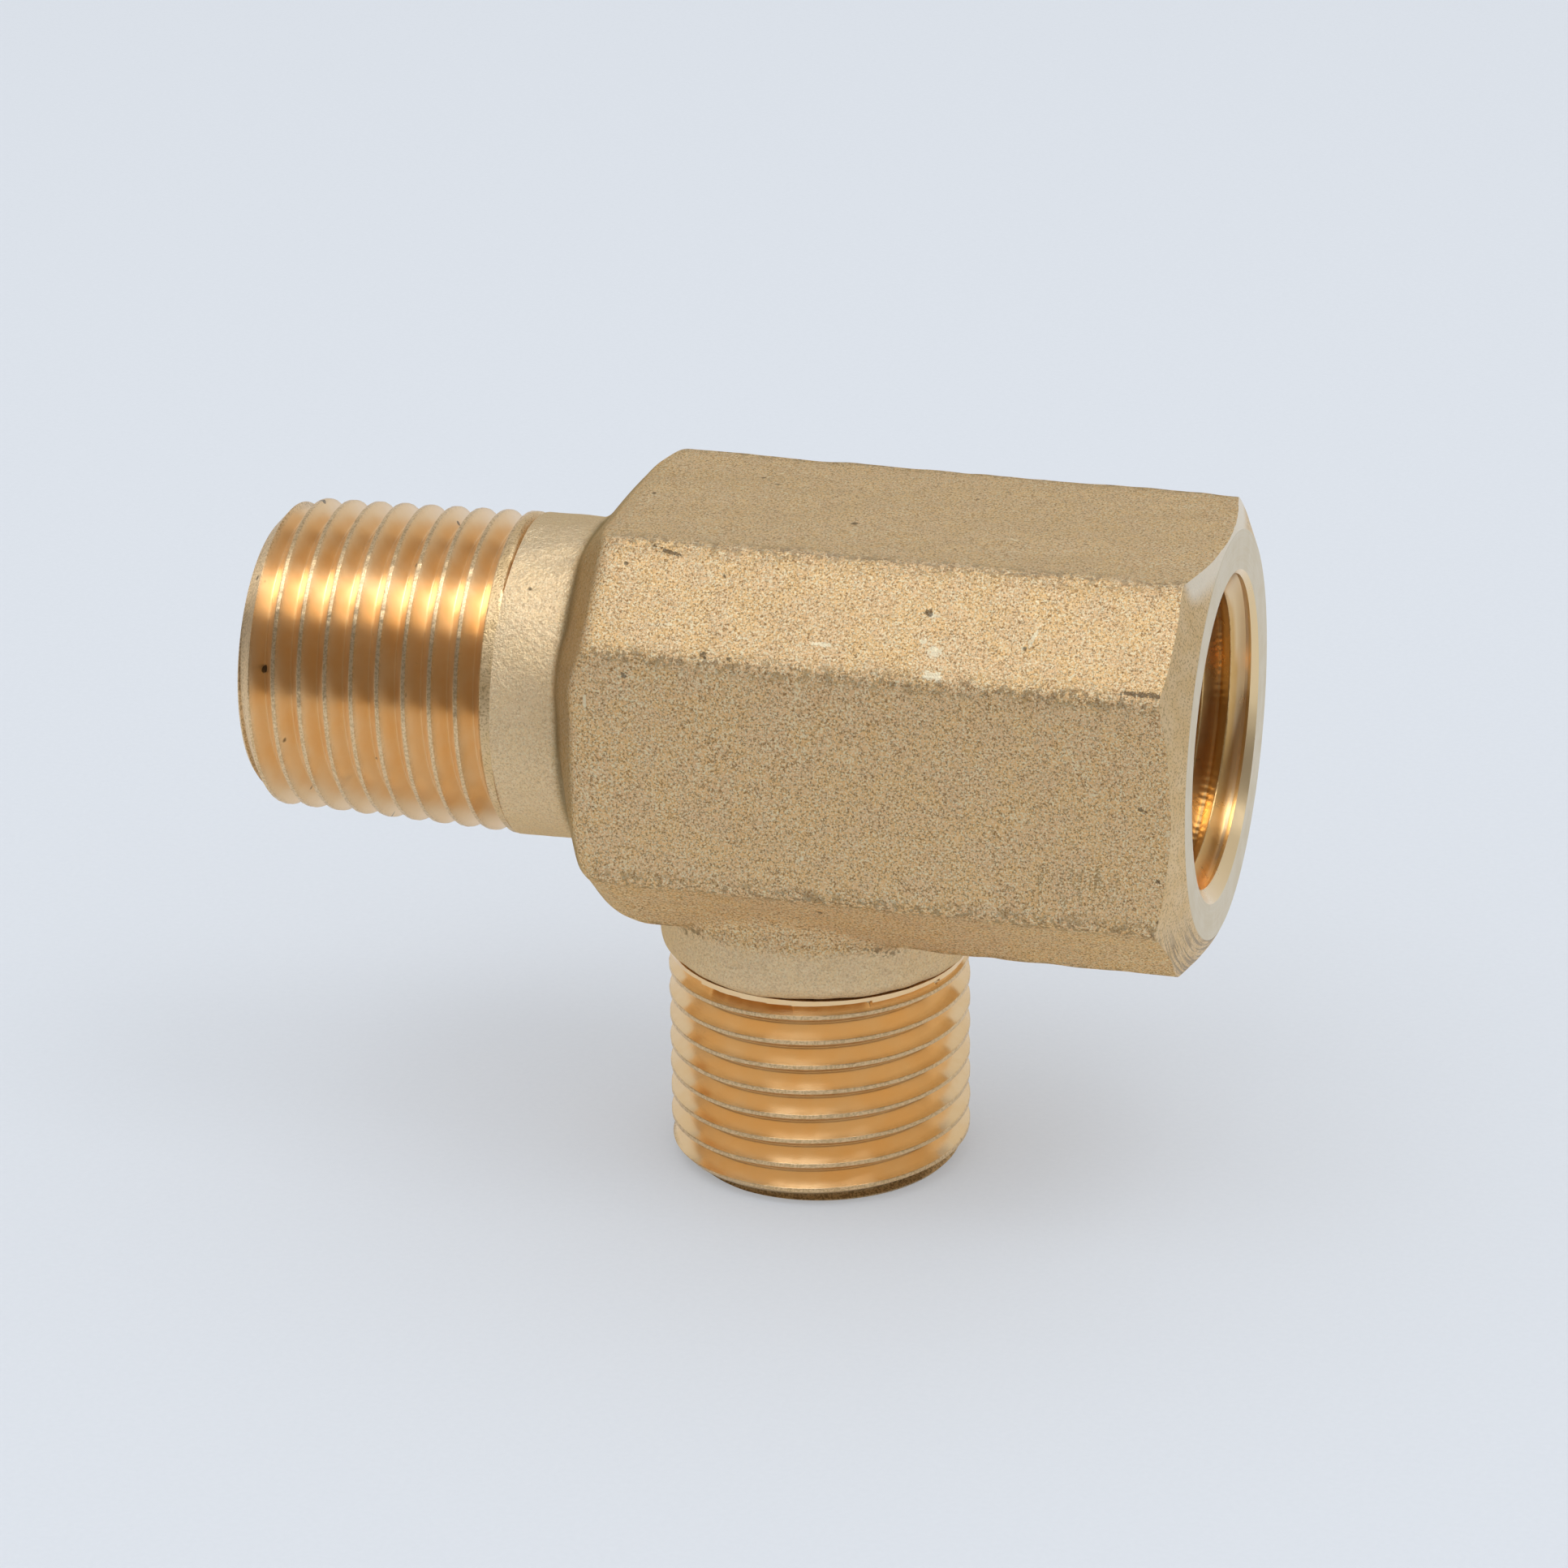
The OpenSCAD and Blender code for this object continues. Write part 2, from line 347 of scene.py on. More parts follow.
class Nodes:
    """A short way to write a material's nodes."""

    def __init__(self, name):
        self.material = bpy.data.materials.new(name)
        self.material.use_nodes = True
        self.tree = self.material.node_tree
        self.tree.nodes.clear()
        self.shader = self.add("ShaderNodeBsdfPrincipled", Metallic=1.0)
        out = self.add("ShaderNodeOutputMaterial")
        self.tree.links.new(self.shader.outputs[0], out.inputs[0])
        self.place = self.add("ShaderNodeTexCoord").outputs["Object"]

    def add(self, kind, settings=None, **inputs):
        node = self.tree.nodes.new(kind)
        for key, value in (settings or {}).items():
            setattr(node, key, value)
        for key, value in inputs.items():
            self.put(node.inputs[key.replace("_", " ")], value)
        return node

    def put(self, socket, value):
        if isinstance(value, bpy.types.NodeSocket):
            self.tree.links.new(value, socket)
        elif value is not None:
            socket.default_value = value

    def math(self, operation, a, b=0.0, clamp=False):
        node = self.add("ShaderNodeMath", {"operation": operation, "use_clamp": clamp})
        self.put(node.inputs[0], a)
        self.put(node.inputs[1], b)
        return node.outputs[0]

    def noise(self, scale, detail=2.0, roughness=0.5, place=None, distortion=0.0):
        node = self.add(
            "ShaderNodeTexNoise", Vector=place or self.place, Scale=scale, Detail=detail,
            Roughness=roughness, Distortion=distortion,
        )
        return node.outputs["Fac"]

    def span(self, value, low, high, to_low=0.0, to_high=1.0):
        """value from low..high to to_low..to_high, held at the ends."""
        node = self.add("ShaderNodeMapRange", {"clamp": True, "interpolation_type": "SMOOTHSTEP"})
        for socket, v in zip(node.inputs[:5], (value, low, high, to_low, to_high)):
            self.put(socket, v)
        return node.outputs[0]

    def mix(self, share, a, b):
        node = self.add("ShaderNodeMix", {"data_type": "RGBA"})
        self.put(node.inputs["Factor"], share)
        for socket, v in ((node.inputs[6], a), (node.inputs[7], b)):
            self.put(socket, v if isinstance(v, bpy.types.NodeSocket) else (*v, 1.0))
        return node.outputs[2]

    def attribute(self, name):
        return self.add("ShaderNodeAttribute", {"attribute_name": name}).outputs["Fac"]

    def bump(self, height, distance):
        return self.add("ShaderNodeBump", Height=height, Distance=distance, Strength=1.0).outputs[0]

    def axes(self):
        """The three coordinates of a point on the object."""
        return self.add("ShaderNodeSeparateXYZ", Vector=self.place).outputs[:3]

    def marks(self, marks, raggedness):
        """1 inside any of the ellipses, whose outlines are made ragged by a noise."""
        total = None
        for centre, along, half_length, half_width in marks:
            offset = self.add("ShaderNodeVectorMath", {"operation": "SUBTRACT"})
            self.put(offset.inputs[0], self.place)
            self.put(offset.inputs[1], [c * MM for c in centre])
            dot = self.add("ShaderNodeVectorMath", {"operation": "DOT_PRODUCT"})
            self.put(dot.inputs[0], offset.outputs[0])
            self.put(dot.inputs[1], along)
            square = self.add("ShaderNodeVectorMath", {"operation": "DOT_PRODUCT"})
            self.put(square.inputs[0], offset.outputs[0])
            self.put(square.inputs[1], offset.outputs[0])
            longways = self.math("POWER", self.math("ABSOLUTE", dot.outputs["Value"]), 2.0)
            k_long, k_wide = (half_length * MM) ** -2, (half_width * MM) ** -2
            reach = self.math("MULTIPLY", longways, k_long - k_wide)
            reach = self.math("ADD", reach, self.math("MULTIPLY", square.outputs["Value"], k_wide))
            total = reach if total is None else self.math("MINIMUM", total, reach)
        return self.span(self.math("ADD", total, self.math("MULTIPLY", raggedness, 5.0)), 3.5, 2.9)

    def finish(self, color, roughness, normal):
        self.put(self.shader.inputs["Base Color"], color)
        self.put(self.shader.inputs["Roughness"], roughness)
        self.put(self.shader.inputs["Normal"], normal)
        return self.material


X_DIR, Z_DIR, SLANT = (1, 0, 0), (0, 0, 1), (0.7, 0, -0.7)
# Marks of handling on the forged skin: centre, direction, half length and half width in millimetres
BRIGHT_NICKS = [
    ((-6.6, -12.8, 9.7), (0.99, 0.05, 0.1), 1.3, 0.13), ((-1.4, -13.1, 9.4), X_DIR, 0.6, 0.15),
    ((3.9, -13.0, 9.4), X_DIR, 0.9, 0.18), ((11.1, -12.9, 9.5), X_DIR, 0.55, 0.45),
    ((11.4, -14.1, 8.4), X_DIR, 0.8, 0.35), ((10.3, -12.4, 10.0), X_DIR, 0.25, 0.25),
    ((10.7, -11.1, 11.3), X_DIR, 0.4, 0.25), ((17.4, -11.6, 10.8), (0.3, 0.65, 0.69), 1.3, 0.14),
    ((-9.7, -14.5, -7.0), X_DIR, 1.0, 0.13), ((2.6, -14.5, -5.1), (0.86, 0, 0.5), 0.5, 0.13),
    ((-11.6, -14.4, 4.5), Z_DIR, 0.8, 0.14), ((6.0, 14.5, 4.0), SLANT, 1.2, 0.15),
    ((17.0, 13.0, 9.4), X_DIR, 0.8, 0.2), ((-4.0, 5.0, 13.7), (0.6, 0.8, 0), 1.0, 0.13),
    ((14.0, -3.0, 13.7), (0.9, -0.4, 0), 0.9, 0.13), ((12.0, 2.0, -13.7), X_DIR, 1.1, 0.2),
]
DARK_PITS = [
    ((-3.7, -14.1, 8.4), SLANT, 0.32, 0.24), ((-2.1, -14.2, 8.3), SLANT, 0.28, 0.2),
    ((10.3, -11.0, 11.4), X_DIR, 0.3, 0.3), ((24.9, -14.1, 8.4), X_DIR, 1.5, 0.2),
    ((25.0, -14.5, 0.6), SLANT, 0.42, 0.2), ((26.1, -14.5, -4.2), X_DIR, 0.2, 0.2),
    ((26.2, -14.5, -7.1), SLANT, 0.26, 0.2), ((-3.6, -14.6, -8.0), X_DIR, 1.0, 0.14),
    ((-7.4, -9.0, 13.2), (0.95, -0.2, -0.2), 2.4, 0.16), ((-9.0, -14.5, 6.6), SLANT, 0.3, 0.2),
    ((19.5, 14.5, -3.0), SLANT, 0.35, 0.25), ((2.0, 13.9, -8.6), X_DIR, 0.5, 0.2),
]


def forged_material():
    """Shot-blasted brass: packed bright grains with painted glints between fine dark crevices, with nicks and
    darker pits, and painted shade in the crease by the neck and on the upper side.
    """
    n = Nodes("forged_brass")
    grain = n.noise(6200, 4.0, 0.8)
    fine = n.noise(7400, 3.0, 0.75)
    coarse = n.noise(2600, 2.0, 0.55)
    tint = n.noise(650, 3.0, 0.6)
    smooth = n.attribute("smooth")
    less = n.span(smooth, 0.0, 1.0, 1.0, 0.7)
    worms = n.math("ABSOLUTE", n.math("SUBTRACT", n.noise(2500, 1.5, 0.5, distortion=1.2), 0.5))
    crevice = n.math("MULTIPLY", n.span(worms, 0.03, 0.0), n.span(coarse, 0.45, 0.6))
    crevice = n.math("MULTIPLY", crevice, less)
    specks = n.span(n.noise(1050, 1.0, 0.4), 0.225, 0.17)
    ragged = n.math("ADD", n.math("MULTIPLY", coarse, 0.5), n.math("MULTIPLY", n.noise(5200, 2.0, 0.6), 0.5))
    bright = n.marks(BRIGHT_NICKS, ragged)
    pits = n.math("MAXIMUM", specks, n.marks(DARK_PITS, ragged))
    broken = n.add("ShaderNodeMapping", Vector=n.place, Scale=(1.0, 1.0, 0.18)).outputs[0]
    streaks = n.span(n.noise(2300, 1.0, 0.5, place=broken), 0.48, 0.36)
    streaks = n.math("MULTIPLY", streaks, n.marks([((21.0, -14.5, -5.2), X_DIR, 2.6, 1.7)], tint))
    dips = n.math("MULTIPLY", coarse, n.span(smooth, 0.0, 1.0, 0.3, 1.1))
    height = n.math("ADD", n.math("MULTIPLY", n.math("MULTIPLY", grain, less), 0.9), dips)
    height = n.math("ADD", height, n.math("MULTIPLY", fine, 0.25))
    holes = n.math("ADD", n.math("MULTIPLY", pits, 0.7), n.math("MULTIPLY", crevice, 0.2))
    height = n.math("SUBTRACT", height, holes)
    color = n.mix(n.span(tint, 0.38, 0.62), (0.95, 0.63, 0.29), (0.92, 0.62, 0.32))
    dark = n.math("MULTIPLY", n.span(grain, 0.50, 0.41), less)
    color = n.mix(n.math("MULTIPLY", dark, 0.9), color, (0.38, 0.185, 0.06))
    color = n.mix(n.math("MULTIPLY", crevice, 0.5), color, (0.24, 0.14, 0.06))
    color = n.mix(n.math("MULTIPLY", streaks, 0.4), color, (0.28, 0.18, 0.08))
    # painted highlight: bright glints painted into the colour
    glints = n.math("MULTIPLY", n.span(fine, 0.51, 0.59), less)
    color = n.mix(n.math("MULTIPLY", glints, 0.9), color, (1.0, 0.88, 0.60))
    color = n.mix(n.math("MULTIPLY", smooth, 0.5), color, (0.96, 0.775, 0.50))
    worn_edge = n.math("MULTIPLY", n.attribute("edge"), n.span(coarse, 0.52, 0.44, 0.0, 0.7))
    color = n.mix(worn_edge, color, (0.25, 0.16, 0.08))
    # painted shade: darker in the crease where the barrel's end meets the neck
    color = n.mix(n.math("MULTIPLY", n.attribute("crease"), 0.9), color, (0.36, 0.26, 0.13))
    # painted shade: the upward-facing skin is painted darker and greyer
    facing = n.add("ShaderNodeNewGeometry").outputs["True Normal"]
    up = n.add("ShaderNodeSeparateXYZ", Vector=facing).outputs[2]
    color = n.mix(n.span(up, 0.85, 0.97, 0.0, 0.28), color, (0.40, 0.35, 0.27))
    color = n.mix(n.math("MULTIPLY", bright, 0.75), color, (0.99, 0.88, 0.62))
    color = n.mix(n.math("MULTIPLY", pits, 0.7), color, (0.11, 0.075, 0.045))
    roughness = n.math("SUBTRACT", n.span(grain, 0.3, 0.7, 0.60, 0.42), n.math("MULTIPLY", bright, 0.15))
    n.shader.inputs["Specular Tint"].default_value = (0.55, 0.46, 0.32, 1.0)
    return n.finish(color, roughness, n.bump(height, 0.00009))


def turned_material():
    """Brass faced on a lathe: rings round the run axis, torn at the lowest corner of the socket's chamfer."""
    n = Nodes("turned_brass")
    x, y, z = n.axes()
    radius = n.math("SQRT", n.math("ADD", n.math("MULTIPLY", y, y), n.math("MULTIPLY", z, z)))
    rings = n.add("ShaderNodeCombineXYZ", X=n.math("MULTIPLY", radius, 40.0), Y=y, Z=z).outputs[0]
    lines = n.noise(170, 3.0, 0.65, place=rings)
    grain = n.noise(6800, 2.0, 0.6)
    mottle = n.noise(520, 3.0, 0.6)
    face = n.span(x, (FACE_X - 0.03) * MM, (FACE_X - 0.01) * MM)
    cone = n.math("SUBTRACT", 1.0, face)
    tears = n.math("MULTIPLY", n.span(z, -0.0065, -0.0115), n.span(lines, 0.52, 0.42))
    tears = n.math("MULTIPLY", tears, cone)
    height = n.math("ADD", n.math("MULTIPLY", lines, n.span(cone, 0.0, 1.0, 0.25, 0.6)),
                    n.math("MULTIPLY", grain, n.span(cone, 0.0, 1.0, 0.2, 0.6)))
    height = n.math("SUBTRACT", height, n.math("MULTIPLY", tears, 0.9))
    cone_wear_and_highlight = n.mix(n.span(mottle, 0.35, 0.65), (0.80, 0.56, 0.28), (0.84, 0.615, 0.345))
    cone_wear_and_highlight = n.mix(n.span(grain, 0.5, 0.34, 0.0, 0.7), cone_wear_and_highlight, (0.42, 0.27, 0.12))
    # painted highlight: the top of the chamfer towards the front is painted pale
    painted_top_highlight = n.math("MULTIPLY", n.span(z, 0.0118, 0.0130, 0.0, 0.85), n.span(y, -0.0088, -0.0075))
    cone_wear_and_highlight = n.mix(painted_top_highlight, cone_wear_and_highlight, (0.94, 0.84, 0.68))
    clean = n.mix(n.span(mottle, 0.35, 0.65), (0.77, 0.66, 0.485), (0.735, 0.615, 0.425))
    color = n.mix(face, cone_wear_and_highlight, clean)
    color = n.mix(n.math("MULTIPLY", tears, 0.65), color, (0.26, 0.17, 0.09))
    return n.finish(color, n.span(lines, 0.3, 0.7, 0.38, 0.50), n.bump(height, 0.00007))


MALE_GOLD = (0.93, 0.625, 0.315), (0.96, 0.685, 0.385)
SOCKET_GOLD = (0.76, 0.46, 0.16), (0.82, 0.52, 0.21)


def thread_material(name, axis, polish, beads=0):
    """Cut thread: flanks of roughness polish with fine lines along the cut, and crests left rough and pale.
    beads is how many a chattering tool left to a turn of the socket, and 0 on a male thread."""
    n = Nodes(name)
    crest = n.attribute("crest")
    plain = n.attribute("plain")
    comps = n.axes()
    scaled = [n.math("MULTIPLY", c, 40.0) if i == axis else c for i, c in enumerate(comps)]
    stretched = n.add("ShaderNodeCombineXYZ", X=scaled[0], Y=scaled[1], Z=scaled[2]).outputs[0]
    lines = n.noise(180, 2.0, 0.5, place=stretched)
    speck = n.noise(6500, 2.0, 0.6)
    mottle = n.noise(420, 3.0, 0.6)
    dirt = n.span(n.noise(700, 1.0, 0.5), 0.24, 0.20)
    gold = n.mix(n.span(mottle, 0.3, 0.7), *(SOCKET_GOLD if beads else MALE_GOLD))
    pale = n.mix(n.span(speck, 0.40, 0.58), (0.52, 0.35, 0.17), (0.87, 0.645, 0.375))
    rough_part = crest if beads else n.math("MAXIMUM", crest, plain)
    color = n.mix(rough_part, gold, pale)
    if beads:
        color = n.mix(plain, color, (0.95, 0.73, 0.43))
    if axis == 2:
        # painted shade: the end chamfer at the foot of the branch, by the floor, is painted dark
        foot_shade = n.mix(n.span(speck, 0.4, 0.55), (0.16, 0.10, 0.04), (0.50, 0.32, 0.13))
        color = n.mix(n.math("MULTIPLY", plain, 0.7), color, foot_shade)
    color = n.mix(n.math("MULTIPLY", dirt, 0.8), color, (0.10, 0.07, 0.04))
    roughness = n.add("ShaderNodeMix", {"data_type": "FLOAT"})
    n.put(roughness.inputs[0], rough_part)
    n.put(roughness.inputs[2], n.span(mottle, 0.3, 0.7, polish, polish + 0.05))
    n.put(roughness.inputs[3], 0.42)
    n.shader.inputs["Anisotropic"].default_value = 0.95
    n.shader.inputs["Anisotropic Rotation"].default_value = 0.25
    around = n.add("ShaderNodeTangent", {"direction_type": "RADIAL", "axis": "XYZ"[axis]})
    n.put(n.shader.inputs["Tangent"], around.outputs[0])
    height = n.math("ADD", n.math("MULTIPLY", lines, 0.05), n.math("MULTIPLY", speck, crest))
    if beads:
        across = [c for i, c in enumerate(comps) if i != axis]
        turned = n.math("MULTIPLY", n.math("ARCTAN2", across[1], across[0]), beads)
        square = n.math("ADD", *[n.math("MULTIPLY", c, c) for c in across])
        root = n.span(n.math("SQRT", square), (SOCKET_R + 0.6) * MM, (SOCKET_R + 1.0) * MM, 0.0, 0.16)
        root = n.math("MULTIPLY", root, n.span(plain, 0.1, 0.0))
        height = n.math("ADD", height, n.math("MULTIPLY", n.math("SINE", turned), root))
    return n.finish(color, roughness.outputs[0], n.bump(height, 0.00003))


def bore_material():
    """The inside of the drilled waterways: darker gold with coarse tool rings."""
    n = Nodes("bored_brass")
    mottle = n.noise(500, 3.0, 0.6)
    rings = n.add("ShaderNodeMapping", Vector=n.place, Scale=(14.0, 1.0, 14.0)).outputs[0]
    lines = n.noise(220, 2.0, 0.5, place=rings)
    color = n.mix(n.span(mottle, 0.3, 0.7), (0.62, 0.42, 0.19), (0.74, 0.53, 0.26))
    return n.finish(color, n.span(lines, 0.3, 0.7, 0.25, 0.4), n.bump(lines, 0.00002))


# ---------------------------------------------------------------- the forging


def make_body():
    step = 0.28
    points, quads = net(
        forging, (NECK_X - 2, -HALF_W - 1, SHOULDER_Z - 1.5), (FACE_X + 2, HALF_W + 1, HALF_H + 1), step
    )
    body = mesh_object("forging", points, quads)
    past = 20
    wide = FACE_R + past
    envelope = [(NECK_X, 0), (NECK_X, wide), (FACE_X - FACE_SLOPE * past, wide)]
    envelope += [(FACE_X, FACE_R), (FACE_X, 0)]
    turned_shape = solid_of_revolution(envelope, 384)
    turned_shape.data.transform(Matrix.Translation((0, OFF_AXIS * MM, 0)))
    cut(body, turned_shape, "INTERSECT")
    cut(body, cylinder(-CLEAR, SHOULDER_Z, CLEAR, 8, "z"))
    cut(body, cylinder(-CLEAR, CLEAR, RUN_BORE_R, ROUND_BORE_SIDES))
    cut(body, cylinder(SEAT_X, CLEAR, SEAT_R, SIDES))
    cut(body, cylinder(-CLEAR, 0, BRANCH_BORE_R, ROUND_BORE_SIDES, "z"))
    shade(body, 24)
    for material in (forged_material(), turned_material(), bore_material()):
        body.data.materials.append(material)
    x, y, z = polygon_centres(body).T
    r = np.hypot(y, z)
    cone_r = np.hypot(y - OFF_AXIS, z)
    on_cone = np.abs(x - FACE_X + FACE_SLOPE * (cone_r - FACE_R)) < NEAR
    turned = (on_cone & (cone_r > FACE_R - NEAR)) | (x > FACE_X - NEAR)
    turned |= (x < NECK_X + NEAR) | (z < SHOULDER_Z + NEAR)
    bored = (r < RUN_BORE_R + NEAR) | ((np.hypot(x, y) < BRANCH_BORE_R + NEAR) & (z < 0))
    bored |= (r < SEAT_R + NEAR) & (x > SEAT_X - NEAR) & (x < FACE_X - NEAR)
    set_materials(body, np.where(bored, 2, np.where(turned, 1, 0)))
    paint_wear_and_shade(body)
    return body


def paint_wear_and_shade(body):
    """Where the flats meet, where the barrel meets the neck (painted shade), and where the skin is smoother.
    """
    x, y, z = vertex_points(body).T
    bar, end = barrel_planes(x, y, z)
    nearest = np.sort(np.stack([y * ny + z * nz - reach for ny, nz, reach, _ in FLATS]), 0)
    paint(body, "edge", np.clip(1 + nearest[-2] / 0.9, 0, 1) * (np.abs(bar) < 0.6))
    in_end = np.clip((end - bar) / 0.5, 0, 1) * (x < -11)
    close = np.clip(1.1 - np.abs(np.hypot(y, z) - NECK_R) / 1.3, 0, 1)
    # crease: painted shade at the barrel's end beside the neck, which forged_brass darkens
    paint(body, "crease", in_end * (0.6 + 0.4 * close) * np.clip((x + 15.1) / 0.4, 0, 1))
    boss = np.clip((-z - 13.4) / 0.8, 0, 1) * (np.hypot(x, y) < BOSS_R + 0.6)
    paint(body, "smooth", np.maximum(boss, np.clip((-14.4 - x) / 0.8, 0, 1)))


# ---------------------------------------------------------------- the threads


def ripple(angle, s, seed):
    """A small uneven number round a turned part, between about -1 and 1."""
    draw = np.random.default_rng(seed)
    total = 0
    for turns, length in zip(draw.integers(3, 90, 24), draw.uniform(0.7, 6.0, 24)):
        total = total + np.sin(turns * angle + TURN * s / length + draw.uniform(0, TURN))
    return total / 5


def thread_rows():
    """Where the rows of vertices lie across one pitch, from the middle of the root."""
    mouth = math.sqrt((ROOT_ROUND + THREAD_DEPTH * FLANK) ** 2 - ROOT_ROUND**2)
    side = [0.05, 0.1, 0.26, 0.42, 0.58, mouth - 0.05, mouth - 0.015, mouth + 0.02, mouth + 0.055]
    return [-PITCH / 2] + [-t for t in side[::-1]] + [0.0] + side


def helical_rod(length, start, radius, sides):
    """A closed rod whose rows of vertices follow a right-hand thread. radius(s, angle, t) gives the surface
    at a distance s from the free end, where t is the distance from the middle of the nearest groove."""
    rows = thread_rows()
    angles = np.arange(sides) * TURN / sides
    first, last = math.floor(-start / PITCH) - 2, math.ceil((length - start) / PITCH) + 1
    base = np.array([start + k * PITCH + row for k in range(first, last + 1) for row in rows])
    s = np.clip(base[:, None] + PITCH * angles / TURN, 0, length)

    def surface(s, angle):
        turn = np.floor((s - start) / PITCH - angle / TURN + 0.5) + angle / TURN
        r = radius(s, angle, s - start - turn * PITCH)
        return np.stack([s, r * np.cos(angle), r * np.sin(angle)], -1)

    verts = surface(s, np.broadcast_to(angles, s.shape)).reshape(-1, 3)
    number = np.arange(s.size).reshape(s.shape)
    # every vertex that was drawn back to an end is the same one as its neighbours there
    number = np.where(s <= 0, np.arange(sides)[None] + s.size, number)
    number = np.where(s >= length, np.arange(sides)[None] + s.size + sides, number)
    ends = [surface(np.full(sides, edge_s), angles) for edge_s in (0.0, length)]
    verts = np.concatenate([verts, *ends, [[0, 0, 0], [length, 0, 0]]])
    count = len(rows)
    following = np.full_like(number, -1)
    following[:, :-1] = number[:, 1:]
    following[:-count, -1] = number[count:, 0]
    following[-count:, -1] = s.size + sides
    quads = np.stack([number[:-1], following[:-1], following[1:], number[1:]], -1).reshape(-1, 4)
    quads = quads[(quads >= 0).all(1)]
    faces = []
    for quad in quads.tolist():
        face = list(dict.fromkeys(quad))
        if len(face) > 2:
            faces.append(face)
    for j in range(sides):
        k = (j + 1) % sides
        faces.append([s.size + 2 * sides, s.size + k, s.size + j])
        faces.append([s.size + 2 * sides + 1, s.size + sides + j, s.size + sides + k])
    used = sorted({v for face in faces for v in face})
    renumber = {old: new for new, old in enumerate(used)}
    return verts[used], [[renumber[v] for v in face] for face in faces]


def groove_floor(t, depth):
    """Height of a V groove with a rounded bottom above its full-depth bottom line."""
    return (np.sqrt(t**2 + ROOT_ROUND**2) - ROOT_ROUND) / FLANK - depth


def male_radius(crest_of, length, relief, collar, seed):
    """The surface of a male thread. Its groove ends relief before the shoulder, or runs into it where relief
    is negative, and collar is the length beside the shoulder where it stays shallow."""

    def radius(s, angle, t):
        crest = crest_of(s) - 0.018 - 0.012 * ripple(angle, s, seed)
        fade = np.clip((s - t + FADE - (length - relief)) / FADE, 0, 1)
        depth = THREAD_DEPTH * (1 - fade**1.5) - 0.1 * fade
        surface = smin(crest, crest_of(s - t) + groove_floor(t, depth), CREST_ROUND)
        return np.where(s > length - collar, np.maximum(surface, crest - 0.12), surface)

    return radius


def thread_sides():
    return SIDES


def male_thread(
    name, node, start, crest_of, length, tip_r, chamfer, relief, collar, bore_r, place, axis, seed, polish
):
    radius = male_radius(crest_of, length, relief, collar, seed)
    verts, faces = helical_rod(length, start, radius, thread_sides())
    rod = mesh_object(name, place(verts), faces)
    face_outwards(rod)
    past = 4
    wide = tip_r + past
    slope = chamfer / (crest_of(chamfer) - tip_r)
    along = "z" if axis == 2 else "x"
    at = place(np.array([[0.0, 0, 0]]))[0][axis]
    outline = [(at, 0), (at, tip_r), (at + slope * past, wide), (at + length, wide), (at + length, 0)]
    cut(rod, solid_of_revolution(outline, SIDES, along), "INTERSECT")
    before, after, mouth_r = at - 9, at + length + 9, bore_r + BORE_CHAMFER
    bore = [(before, 0), (before, mouth_r), (at, mouth_r)]
    bore += [(at + BORE_CHAMFER, bore_r), (after, bore_r), (after, 0)]
    cut(rod, solid_of_revolution(bore, ROUND_BORE_SIDES, along))
    shade(rod, 40)
    points = vertex_points(rod)
    s = points[:, axis] - at
    r = from_axis(points, axis)
    crest = np.clip(1 - (crest_of(s) - 0.03 - r) / 0.06, 0, 1) * (s > chamfer * 0.8)
    plain = np.clip((chamfer * 0.98 - s) / 0.1, 0, 1) * (r > bore_r + 0.4)
    paint(rod, "crest", crest * 0.6)
    paint(rod, "plain", plain * 0.8)
    for material in (thread_material(name + "_brass", axis, polish), bore_material(), turned_material()):
        rod.data.materials.append(material)
    centres = polygon_centres(rod)
    beside_neck = (centres[:, axis] - at > length - COLLAR) & (axis == 0)
    set_materials(rod, np.where(from_axis(centres, axis) < bore_r + 0.3, 1, np.where(beside_neck, 2, 0)))
    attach(rod, "root")
    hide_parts(node)
    return rod


def make_threads():
    run_length, branch_length = NECK_X - RUN_TIP_X, SHOULDER_Z - BRANCH_TIP_Z
    male_thread(
        "run_thread", "run_male_thread", RUN_START, lambda s: RUN_CREST_R + RUN_TAPER * s, run_length,
        RUN_TIP_R, RUN_CHAMFER, relief=-0.3, collar=0.0, bore_r=RUN_BORE_R,
        place=lambda v: v + [RUN_TIP_X, 0, 0], axis=0, seed=11, polish=0.28,
    )
    male_thread(
        "branch_thread", "branch_male_thread", BRANCH_START, lambda s: BRANCH_CREST_R + 0 * s, branch_length,
        BRANCH_TIP_R, BRANCH_CHAMFER, relief=-2.0, collar=0.4, bore_r=BRANCH_BORE_R,
        place=lambda v: v[:, [1, 2, 0]] + [0, 0, BRANCH_TIP_Z], axis=2, seed=12, polish=0.16,
    )


